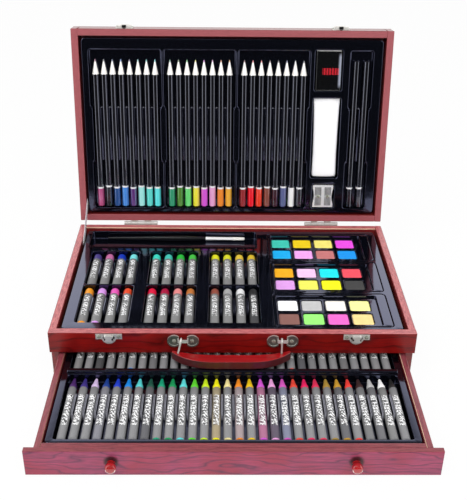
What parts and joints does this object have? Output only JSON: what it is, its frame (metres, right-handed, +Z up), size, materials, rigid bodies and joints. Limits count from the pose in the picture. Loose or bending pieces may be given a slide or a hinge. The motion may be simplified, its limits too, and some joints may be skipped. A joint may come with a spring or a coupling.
{
  "type": "pencil drawer box",
  "caption": "Wooden art box with a hinged lid full of pencils, an open tray of pastels and paint cakes, and a crayon drawer with knobs under a carrying handle",
  "frame": {"origin": "middle of the case's underside", "axes": "+X to the right seen from the front, +Y from front to back, +Z up"},
  "size_m": [0.37, 0.4442, 0.2893],
  "materials": {
    "case_wood": "stained and varnished",
    "face_wood": "stained, with dark figure",
    "plywood": "bare",
    "tray_plastic": "formed sheet, glossy",
    "pastel_paper": "printed wrapper",
    "paint": "pressed cakes in many colours",
    "black_lacquer": "black lacquer",
    "bright_metal": "bright plated",
    "screw_steel": "plated",
    "white_bristle": "soft bristle",
    "rubber_white": "matte",
    "card_sleeve": "glossy printed card",
    "tube_white": "satin",
    "ribbon_cloth": "woven tape",
    "crayon_paper": "printed wrapper",
    "red_lacquer": "red lacquer"
  },
  "bodies": {
    "case": {"case_side_left": "case_wood", "case_side_right": "case_wood", "case_back": "case_wood", "case_front_rail": "case_wood", "case_bottom": "plywood", "compartment_floor": "plywood", "case_tray": "tray_plastic", "oil_pastels_back": "pastel_paper", "oil_pastels_front": "pastel_paper", "paint_palettes": "tray_plastic", "paint_cakes": "paint", "brush_handle": "black_lacquer", "brush_ferrule": "bright_metal", "brush_hair": "white_bristle", "hinge_leaves_case": "bright_metal", "hinge_pins": "bright_metal", "hinge_screws_case": "screw_steel", "catch_plates": "bright_metal", "catch_screws": "screw_steel", "handle_brackets": "bright_metal", "bracket_screws": "screw_steel", "ribbon_tack_case": "screw_steel", "ribbon_stay": "ribbon_cloth"},
    "lid": {"lid_side_left": "case_wood", "lid_side_right": "case_wood", "lid_front_rail": "case_wood", "lid_back_rail": "case_wood", "lid_panel": "case_wood", "lid_tray": "tray_plastic", "colour_pencils_left": "black_lacquer", "colour_pencils_middle": "black_lacquer", "colour_pencils_right": "black_lacquer", "drawing_pencils": "black_lacquer", "eraser": "rubber_white", "eraser_sleeve": "card_sleeve", "paint_tube": "tube_white", "sharpener_body": "bright_metal", "sharpener_blades": "bright_metal", "sharpener_screws": "screw_steel", "hinge_leaves_lid": "bright_metal", "hinge_screws_lid": "screw_steel", "hasp_plates": "bright_metal", "hasp_screws": "screw_steel", "hasp_pins": "bright_metal", "ribbon_tack_lid": "screw_steel"},
    "drawer": {"drawer_face": "face_wood", "drawer_side_left": "face_wood", "drawer_side_right": "face_wood", "drawer_front_board": "face_wood", "drawer_back": "face_wood", "drawer_bottom": "plywood", "drawer_tray": "tray_plastic", "crayons_front": "crayon_paper", "crayons_back": "crayon_paper", "drawer_knobs": "red_lacquer", "knob_screws": "screw_steel"},
    "handle": {"handle_grip": "red_lacquer", "handle_eyes": "bright_metal"},
    "hasp_left": {"hasp_tongue_left": "bright_metal"},
    "hasp_right": {"hasp_tongue_right": "bright_metal"}
  },
  "joints": [
    {"name": "lid_hinge", "type": "hinge", "parent": "case", "child": "lid", "pos_m": [0, 0.1186, 0.05515], "axis": [1, 0, 0], "range_deg": [0, 99], "deforming": ["ribbon_stay"]},
    {"name": "drawer_slide", "type": "slide", "parent": "case", "child": "drawer", "axis": [0, 1, 0], "range_m": [-0.05, 0.1405]},
    {"name": "handle_swing", "type": "hinge", "parent": "case", "child": "handle", "pos_m": [-0.0015, -0.1204, 0.0488], "axis": [-1, 0, 0], "range_deg": [0, 110]},
    {"name": "hasp_left_swing", "type": "hinge", "parent": "lid", "child": "hasp_left", "pos_m": [-0.1242, 0.15915, 0.28787], "axis": [1, 0, 0], "range_deg": [0, 180]},
    {"name": "hasp_right_swing", "type": "hinge", "parent": "lid", "child": "hasp_right", "pos_m": [0.1242, 0.15915, 0.28787], "axis": [1, 0, 0], "range_deg": [0, 180]}
  ]
}
